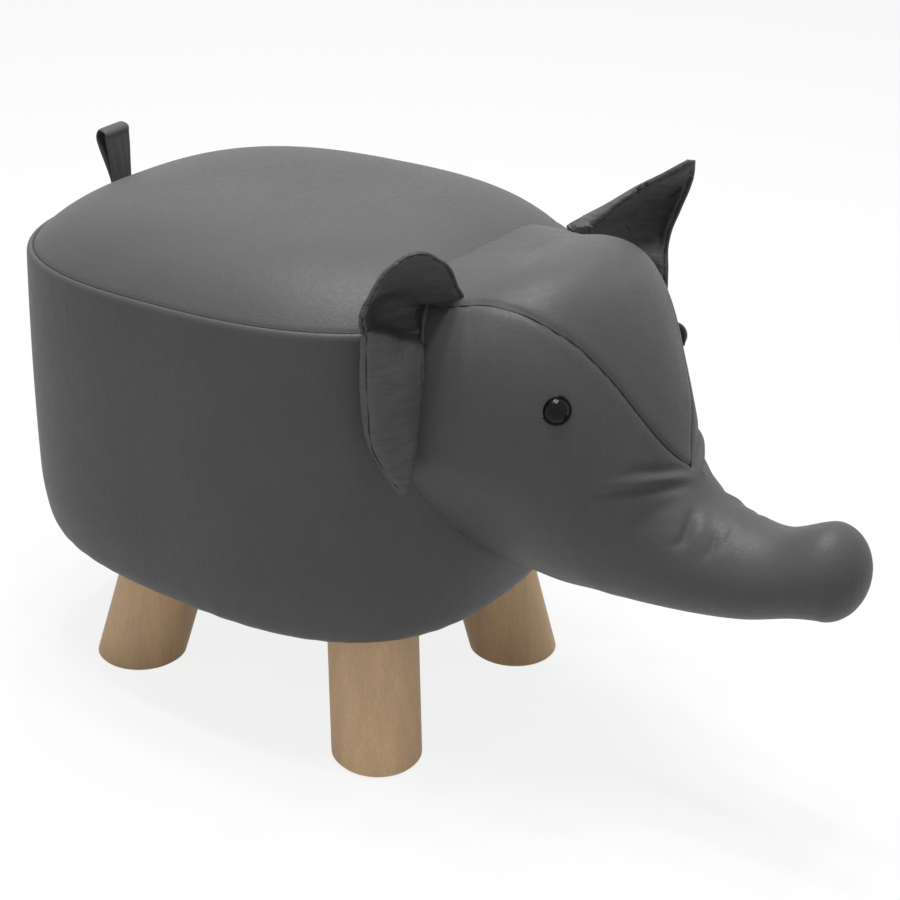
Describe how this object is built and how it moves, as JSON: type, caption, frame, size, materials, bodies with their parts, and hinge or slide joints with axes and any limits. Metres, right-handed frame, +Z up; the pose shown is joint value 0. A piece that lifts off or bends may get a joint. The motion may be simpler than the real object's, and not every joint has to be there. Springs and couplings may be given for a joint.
{
  "type": "upholstered animal foot stool",
  "caption": "Low padded foot stool shaped as an elephant: an oval upholstered drum seat on splayed round wooden legs, with a stuffed head, upturned trunk, flapping ears and a tail loop.",
  "frame": {"origin": "middle of the bottom of the bounding box, on the floor that the feet stand on", "axes": "+X forward along the trunk, +Y to the elephant's left, +Z up"},
  "size_m": [0.5632, 0.2708, 0.346],
  "materials": {
    "grey_leather": "satin, fine pebbled grain",
    "foam": "matte open-cell foam",
    "fibre_fill": "matte loose fibre",
    "plywood": "bare plywood",
    "hardboard": "bare hardboard",
    "softwood": "sawn softwood",
    "leg_wood": "smooth pale wood, clear matte lacquer",
    "felt": "matte felt",
    "nonwoven": "matte non-woven cloth",
    "steel": "zinc plated",
    "washer_plastic": "moulded",
    "eye_plastic": "polished black"
  },
  "bodies": {
    "stool": {"base_board": "plywood", "board_screws": "steel", "crown_foam": "foam", "dust_cover": "nonwoven", "dust_cover_staples": "steel", "eye_washers": "washer_plastic", "face_cover": "grey_leather", "foot_pad_front_left": "felt", "foot_pad_front_right": "felt", "foot_pad_rear_left": "felt", "foot_pad_rear_right": "felt", "forehead_panel": "grey_leather", "frame_posts": "softwood", "hanger_bolts": "steel", "head_stuffing": "fibre_fill", "left_ear_root": "grey_leather", "left_eye": "eye_plastic", "leg_front_left": "leg_wood", "leg_front_right": "leg_wood", "leg_rear_left": "leg_wood", "leg_rear_right": "leg_wood", "right_ear_root": "grey_leather", "right_eye": "eye_plastic", "seat_side_band": "grey_leather", "seat_top_panel": "grey_leather", "side_padding": "foam", "tee_nuts": "steel", "top_board": "plywood", "trunk_stuffing": "fibre_fill", "wall_hoop": "hardboard"},
    "left_ear": {"left_ear_front": "grey_leather", "left_ear_back": "grey_leather"},
    "right_ear": {"right_ear_front": "grey_leather", "right_ear_back": "grey_leather"},
    "tail": {"tail_loop": "grey_leather"}
  },
  "joints": [
    {"name": "left_ear_flap", "type": "hinge", "parent": "stool", "child": "left_ear", "pos_m": [0.05501, 0.07981, 0.28048], "axis": [0, -0.5511, 0.8344], "range_deg": [0, 45], "stiffness_Nm_per_rad": 0.15},
    {"name": "right_ear_flap", "type": "hinge", "parent": "stool", "child": "right_ear", "pos_m": [0.05501, -0.07981, 0.28048], "axis": [0, 0.5511, 0.8344], "range_deg": [-12, 55], "stiffness_Nm_per_rad": 0.15},
    {"name": "tail_bend", "type": "hinge", "parent": "stool", "child": "tail", "pos_m": [-0.26601, 0.021, 0.27307], "axis": [0, 1, 0], "range_deg": [-70, 5], "stiffness_Nm_per_rad": 0.03}
  ]
}
